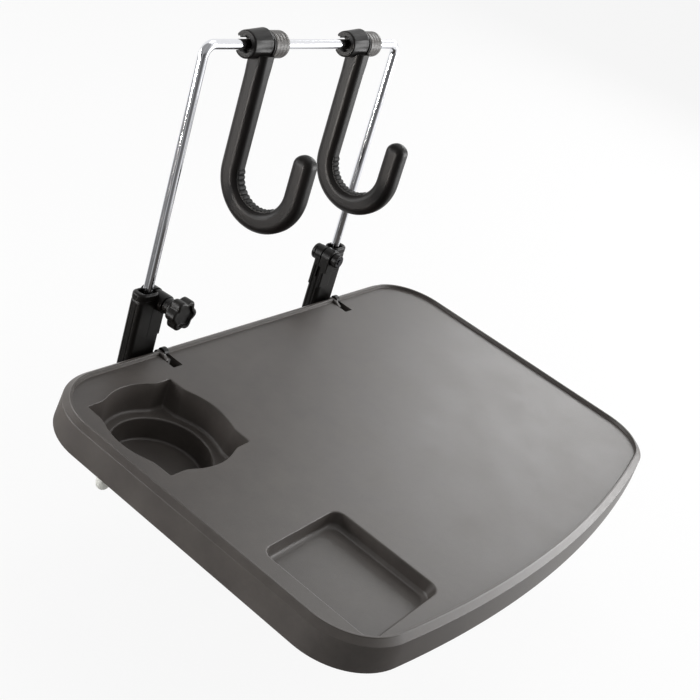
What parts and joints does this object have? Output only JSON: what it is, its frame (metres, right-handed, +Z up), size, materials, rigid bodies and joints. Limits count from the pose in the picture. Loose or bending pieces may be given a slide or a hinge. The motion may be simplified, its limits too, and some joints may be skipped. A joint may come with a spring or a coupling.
{
  "type": "steering wheel tray",
  "caption": "Tray with a cup pocket and a recess that hangs from a steering wheel's rim by hooks on a bent wire frame, and folds on sleeves clamped to the frame's legs.",
  "frame": {"origin": "midway between the wire frame's legs, at the lowest points of the two hooks' seats, where the steering wheel's rim lies", "axes": "+X to the driver's right along the frame's bar, +Y away from the driver towards the steering wheel, +Z up; the tray's top is level"},
  "size_m": [0.38, 0.2886, 0.3033],
  "materials": {
    "tray_plastic": "moulded, fine satin grain",
    "hook_plastic": "moulded, semi-gloss black",
    "sleeve_plastic": "moulded, semi-gloss black",
    "knob_plastic": "moulded, satin black",
    "collar_nylon": "natural grey, slightly translucent",
    "grip_rubber": "soft, bumped",
    "cap_vinyl": "milky, slightly translucent",
    "wire_chrome": "chromed bent wire",
    "pin_steel": "zinc plated",
    "clamp_steel": "blackened"
  },
  "bodies": {
    "frame": {"wire_frame": "wire_chrome", "left_end_cap": "cap_vinyl", "right_end_cap": "cap_vinyl"},
    "left_bracket": {"left_sleeve": "sleeve_plastic", "left_clamp_nut": "clamp_steel"},
    "right_bracket": {"right_sleeve": "sleeve_plastic", "right_clamp_nut": "clamp_steel"},
    "left_clamp": {"left_clamp_screw": "clamp_steel", "left_knob": "knob_plastic"},
    "right_clamp": {"right_clamp_screw": "clamp_steel", "right_knob": "knob_plastic"},
    "folding_tray": {"tray": "tray_plastic", "left_hinge_pin": "pin_steel", "right_hinge_pin": "pin_steel"},
    "left_collar": {"left_hook_collar": "collar_nylon"},
    "right_collar": {"right_hook_collar": "collar_nylon"},
    "left_hanger": {"left_hook": "hook_plastic", "left_grip_pad": "grip_rubber"},
    "right_hanger": {"right_hook": "hook_plastic", "right_grip_pad": "grip_rubber"}
  },
  "joints": [
    {"name": "tray_height", "type": "slide", "parent": "frame", "child": "left_bracket", "axis": [0, 0.0809, 0.9967], "range_m": [-0.075, 0.035]},
    {"name": "right_bracket_height", "type": "slide", "parent": "frame", "child": "right_bracket", "axis": [0, 0.0809, 0.9967], "range_m": [-0.075, 0.035]},
    {"name": "tray_fold", "type": "hinge", "parent": "left_bracket", "child": "folding_tray", "pos_m": [0.0057, 0.00736, -0.10053], "axis": [-1, 0, 0], "range_deg": [0, 45]},
    {"name": "left_clamp_turn", "type": "hinge", "parent": "left_bracket", "child": "left_clamp", "pos_m": [-0.0881, 0.02091, -0.06822], "axis": [0, 0.9967, -0.0809], "range_deg": [0, 360]},
    {"name": "right_clamp_turn", "type": "hinge", "parent": "right_bracket", "child": "right_clamp", "pos_m": [0.0881, 0.02091, -0.06822], "axis": [0, 0.9967, -0.0809], "range_deg": [0, 360]},
    {"name": "left_collar_slide", "type": "slide", "parent": "frame", "child": "left_collar", "axis": [1, 0, 0], "range_m": [-0.018, 0.028]},
    {"name": "right_collar_slide", "type": "slide", "parent": "frame", "child": "right_collar", "axis": [1, 0, 0], "range_m": [-0.028, 0.018]},
    {"name": "left_hook_swing", "type": "hinge", "parent": "left_collar", "child": "left_hanger", "pos_m": [-0.0499, 0.03357, 0.08776], "axis": [1, 0, 0], "range_deg": [-100, 60]},
    {"name": "right_hook_swing", "type": "hinge", "parent": "right_collar", "child": "right_hanger", "pos_m": [0.0481, 0.03357, 0.08776], "axis": [1, 0, 0], "range_deg": [-100, 60]}
  ],
  "couplings": [
    {"joint": "right_bracket_height", "follows": "tray_height", "ratio": 1}
  ]
}
